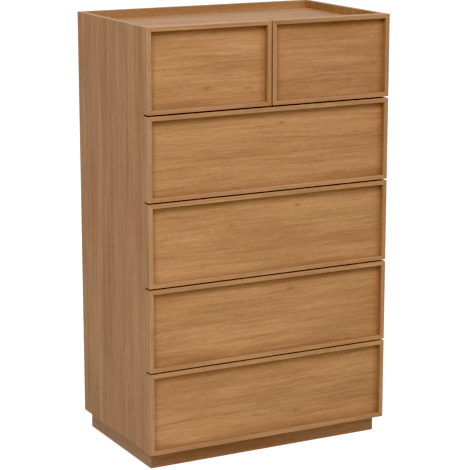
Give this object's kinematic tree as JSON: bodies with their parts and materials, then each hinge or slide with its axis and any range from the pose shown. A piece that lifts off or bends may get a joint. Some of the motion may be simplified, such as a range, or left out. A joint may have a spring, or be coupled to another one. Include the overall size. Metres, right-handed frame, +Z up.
{
  "type": "chest of drawers",
  "caption": "Tall chest of drawers: half-width drawers over full-width ones, frame-and-panel fronts without handles, recessed tray top with a rim, set-back plinth.",
  "frame": {"origin": "on the floor, under the middle of the chest (bottom centre of its bounding box)", "axes": "+Z up; -Y is the front, where the drawers open; +X is to the right of someone facing the front"},
  "size_m": [0.8, 0.495, 1.312],
  "materials": {
    "oak_side": "satin oak veneer, grain upright",
    "oak_top": "satin oak veneer, grain across the width",
    "oak_frame": "satin oak, grain along each bar",
    "oak_panel": "satin oak veneer, grain across the width",
    "oak_plinth": "satin oak veneer, grain along each board",
    "drawer_foil": "pale wood foil on particle board",
    "hardboard": "thin fibre board, pale foil on the face seen from inside, bare fibre on the other",
    "runner_steel": "zinc-plated steel",
    "cage_plastic": "black moulded plastic"
  },
  "bodies": {
    "carcass": {"side_panel_left": "oak_side", "side_panel_right": "oak_side", "top_panel": "oak_top", "rear_rim_rail": "oak_side", "bottom_panel": "oak_side", "back_panel": "hardboard", "divider_shelf": "oak_side", "centre_divider": "oak_side", "plinth_front": "oak_plinth", "plinth_right": "oak_plinth", "plinth_rear": "oak_plinth", "plinth_left": "oak_plinth", "drawer_top_left_runner_left": "runner_steel", "drawer_top_left_runner_right": "runner_steel", "drawer_top_right_runner_left": "runner_steel", "drawer_top_right_runner_right": "runner_steel", "drawer_second_runner_left": "runner_steel", "drawer_second_runner_right": "runner_steel", "drawer_third_runner_left": "runner_steel", "drawer_third_runner_right": "runner_steel", "drawer_fourth_runner_left": "runner_steel", "drawer_fourth_runner_right": "runner_steel", "drawer_bottom_runner_left": "runner_steel", "drawer_bottom_runner_right": "runner_steel"},
    "drawer_top_left": {"drawer_top_left_front_frame": "oak_frame", "drawer_top_left_front_panel": "oak_panel", "drawer_top_left_side_left": "drawer_foil", "drawer_top_left_side_right": "drawer_foil", "drawer_top_left_back": "drawer_foil", "drawer_top_left_bottom": "hardboard"},
    "drawer_top_right": {"drawer_top_right_front_frame": "oak_frame", "drawer_top_right_front_panel": "oak_panel", "drawer_top_right_side_left": "drawer_foil", "drawer_top_right_side_right": "drawer_foil", "drawer_top_right_back": "drawer_foil", "drawer_top_right_bottom": "hardboard"},
    "drawer_second": {"drawer_second_front_frame": "oak_frame", "drawer_second_front_panel": "oak_panel", "drawer_second_side_left": "drawer_foil", "drawer_second_side_right": "drawer_foil", "drawer_second_back": "drawer_foil", "drawer_second_bottom": "hardboard"},
    "drawer_third": {"drawer_third_front_frame": "oak_frame", "drawer_third_front_panel": "oak_panel", "drawer_third_side_left": "drawer_foil", "drawer_third_side_right": "drawer_foil", "drawer_third_back": "drawer_foil", "drawer_third_bottom": "hardboard"},
    "drawer_fourth": {"drawer_fourth_front_frame": "oak_frame", "drawer_fourth_front_panel": "oak_panel", "drawer_fourth_side_left": "drawer_foil", "drawer_fourth_side_right": "drawer_foil", "drawer_fourth_back": "drawer_foil", "drawer_fourth_bottom": "hardboard"},
    "drawer_bottom": {"drawer_bottom_front_frame": "oak_frame", "drawer_bottom_front_panel": "oak_panel", "drawer_bottom_side_left": "drawer_foil", "drawer_bottom_side_right": "drawer_foil", "drawer_bottom_back": "drawer_foil", "drawer_bottom_bottom": "hardboard"}
  },
  "joints": [
    {"name": "drawer_top_left_slide", "type": "slide", "parent": "carcass", "child": "drawer_top_left", "axis": [0, -1, 0], "range_m": [0, 0.3]},
    {"name": "drawer_top_right_slide", "type": "slide", "parent": "carcass", "child": "drawer_top_right", "axis": [0, -1, 0], "range_m": [0, 0.3]},
    {"name": "drawer_second_slide", "type": "slide", "parent": "carcass", "child": "drawer_second", "axis": [0, -1, 0], "range_m": [0, 0.3]},
    {"name": "drawer_third_slide", "type": "slide", "parent": "carcass", "child": "drawer_third", "axis": [0, -1, 0], "range_m": [0, 0.3]},
    {"name": "drawer_fourth_slide", "type": "slide", "parent": "carcass", "child": "drawer_fourth", "axis": [0, -1, 0], "range_m": [0, 0.3]},
    {"name": "drawer_bottom_slide", "type": "slide", "parent": "carcass", "child": "drawer_bottom", "axis": [0, -1, 0], "range_m": [0, 0.3]}
  ]
}
